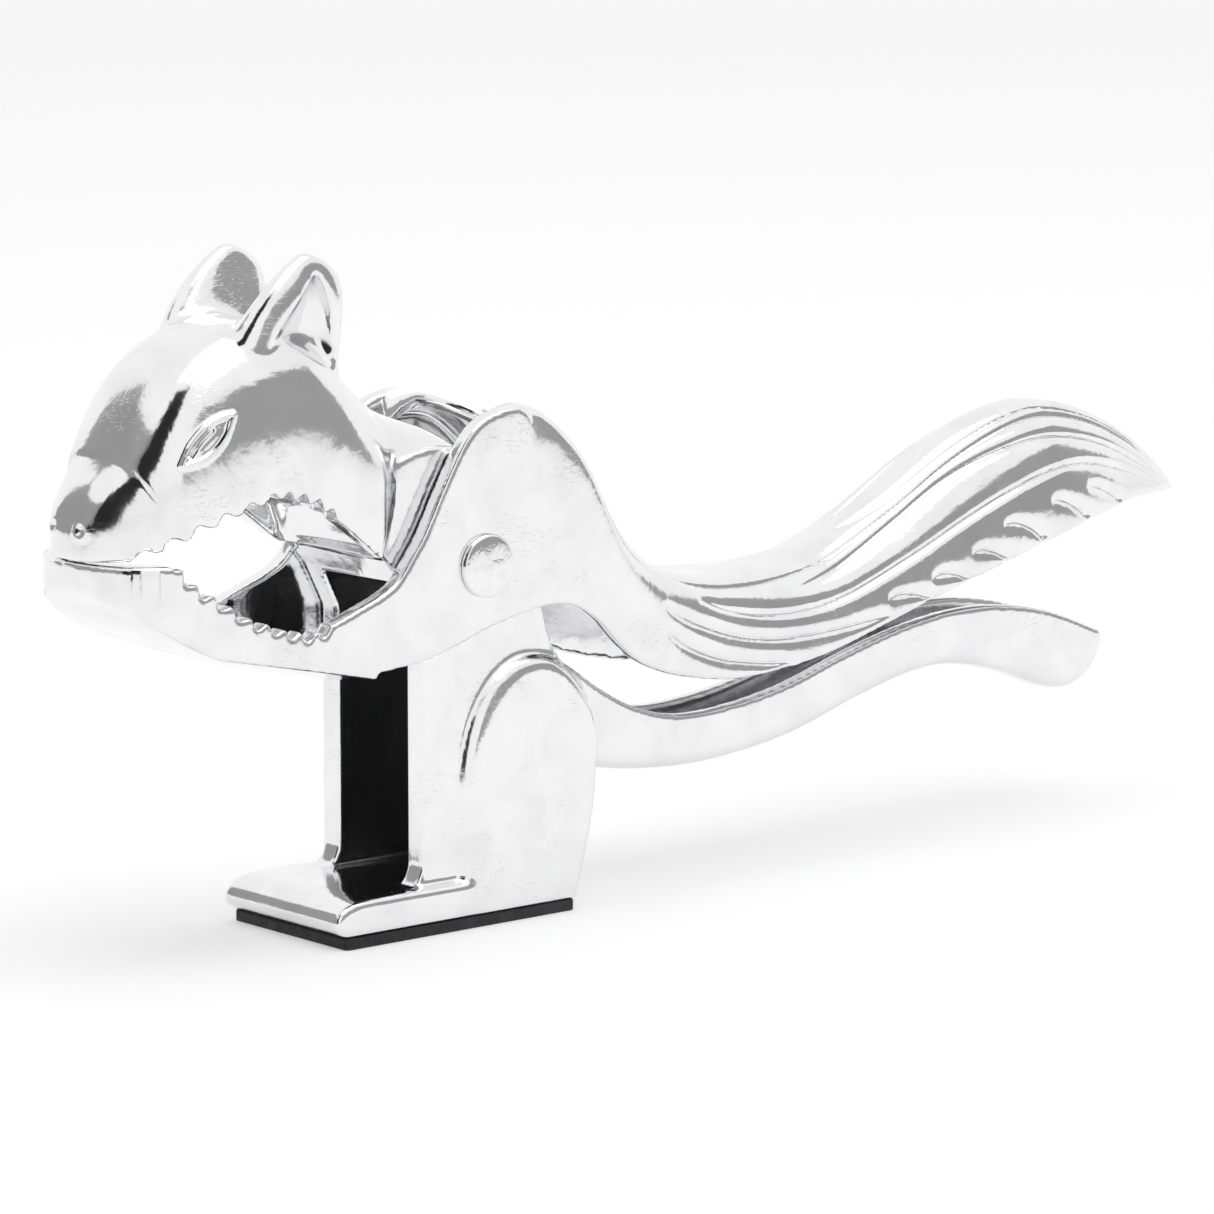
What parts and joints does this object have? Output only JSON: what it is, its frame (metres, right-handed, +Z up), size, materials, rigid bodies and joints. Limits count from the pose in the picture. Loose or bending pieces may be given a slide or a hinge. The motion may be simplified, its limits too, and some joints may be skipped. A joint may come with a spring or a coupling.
{
  "type": "squirrel-shaped lever nutcracker",
  "caption": "Standing cast-metal nutcracker shaped like a squirrel, with a toothed mouth, a hinged tail lever and a fixed lower handle on a rubber-padded foot.",
  "frame": {"origin": "middle of the underside of the foot pad, on the surface the animal stands on", "axes": "+X from the snout towards the tail, +Z up, Y = 0 the plane of symmetry"},
  "size_m": [0.2171, 0.0324, 0.0993],
  "materials": {
    "plated_casting": "bright plated die casting with fine scuffs, soft mottling and dark cored insides",
    "plated_rivet": "plated rivet with small pits from closing",
    "black_rubber": "matte moulded rubber"
  },
  "bodies": {
    "stand": {"body_casting": "plated_casting", "pivot_rivet": "plated_rivet", "foot_pad": "black_rubber"},
    "lever": {"lever_casting": "plated_casting"}
  },
  "joints": [
    {"name": "lever_hinge", "type": "hinge", "parent": "stand", "child": "lever", "pos_m": [0.0034, 0, 0.0531], "axis": [0, -1, 0], "range_deg": [0, 30]}
  ]
}
